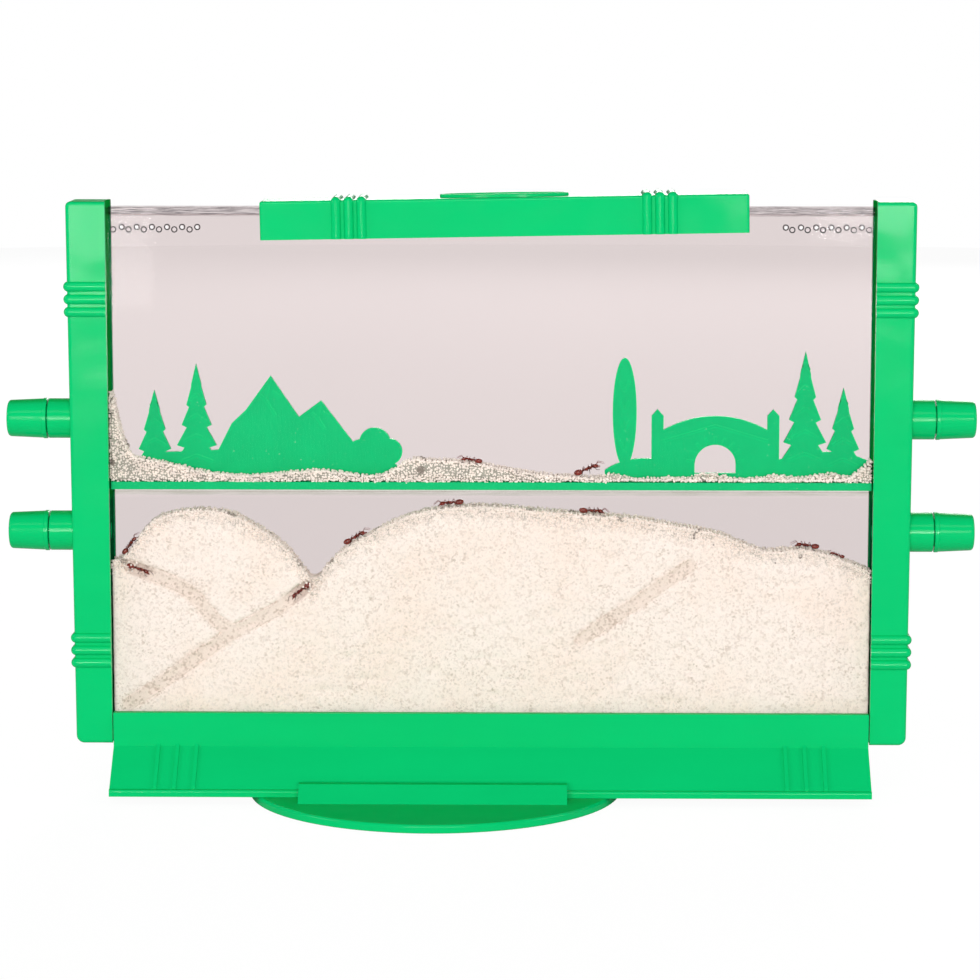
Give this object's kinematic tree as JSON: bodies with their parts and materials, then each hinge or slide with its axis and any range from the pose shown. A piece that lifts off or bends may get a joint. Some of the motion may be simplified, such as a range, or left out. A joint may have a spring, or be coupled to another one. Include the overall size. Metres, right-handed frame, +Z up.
{
  "type": "ant habitat",
  "caption": "Upright two-panel ant habitat in green side frames, with a lift-off lid, a ledge with silhouettes, sand, capped tube ports and a round sliding stand.",
  "frame": {"origin": "on the table, under the middle of the side frames and of the port caps", "axes": "+Z up, +X to the right seen from the front, front panel towards -Y"},
  "size_m": [0.2906, 0.1128, 0.1829],
  "materials": {
    "green_gloss": "glossy moulded polystyrene",
    "green_scenery": "moulded plastic, slightly softer gloss",
    "clear_panel": "clear polystyrene sheet, faint warm grey tint",
    "sand": "loose off-white grains",
    "ant_brown": "reddish brown, slight sheen"
  },
  "bodies": {
    "habitat": {"left_frame": "green_gloss", "right_frame": "green_gloss", "front_panel": "clear_panel", "back_panel": "clear_panel", "base": "green_gloss", "ledge": "green_scenery", "scenery_left": "green_scenery", "scenery_right": "green_scenery", "sand_bed": "sand", "upper_sand": "sand", "ants": "ant_brown"},
    "lid": {"lid": "green_gloss"},
    "stand": {"stand": "green_gloss"},
    "left_upper_cap": {"left_upper_cap": "green_gloss"},
    "left_lower_cap": {"left_lower_cap": "green_gloss"},
    "right_upper_cap": {"right_upper_cap": "green_gloss"},
    "right_lower_cap": {"right_lower_cap": "green_gloss"}
  },
  "joints": [
    {"name": "lid_lift", "type": "slide", "parent": "habitat", "child": "lid", "axis": [0, 0, 1], "range_m": [0, 0.03]},
    {"name": "stand_slide", "type": "slide", "parent": "habitat", "child": "stand", "axis": [1, 0, 0], "range_m": [-0.057, 0.0908]},
    {"name": "left_upper_cap_pull", "type": "slide", "parent": "habitat", "child": "left_upper_cap", "axis": [-1, 0, 0], "range_m": [0, 0.015]},
    {"name": "left_lower_cap_pull", "type": "slide", "parent": "habitat", "child": "left_lower_cap", "axis": [-1, 0, 0], "range_m": [0, 0.015]},
    {"name": "right_upper_cap_pull", "type": "slide", "parent": "habitat", "child": "right_upper_cap", "axis": [1, 0, 0], "range_m": [0, 0.015]},
    {"name": "right_lower_cap_pull", "type": "slide", "parent": "habitat", "child": "right_lower_cap", "axis": [1, 0, 0], "range_m": [0, 0.015]}
  ]
}
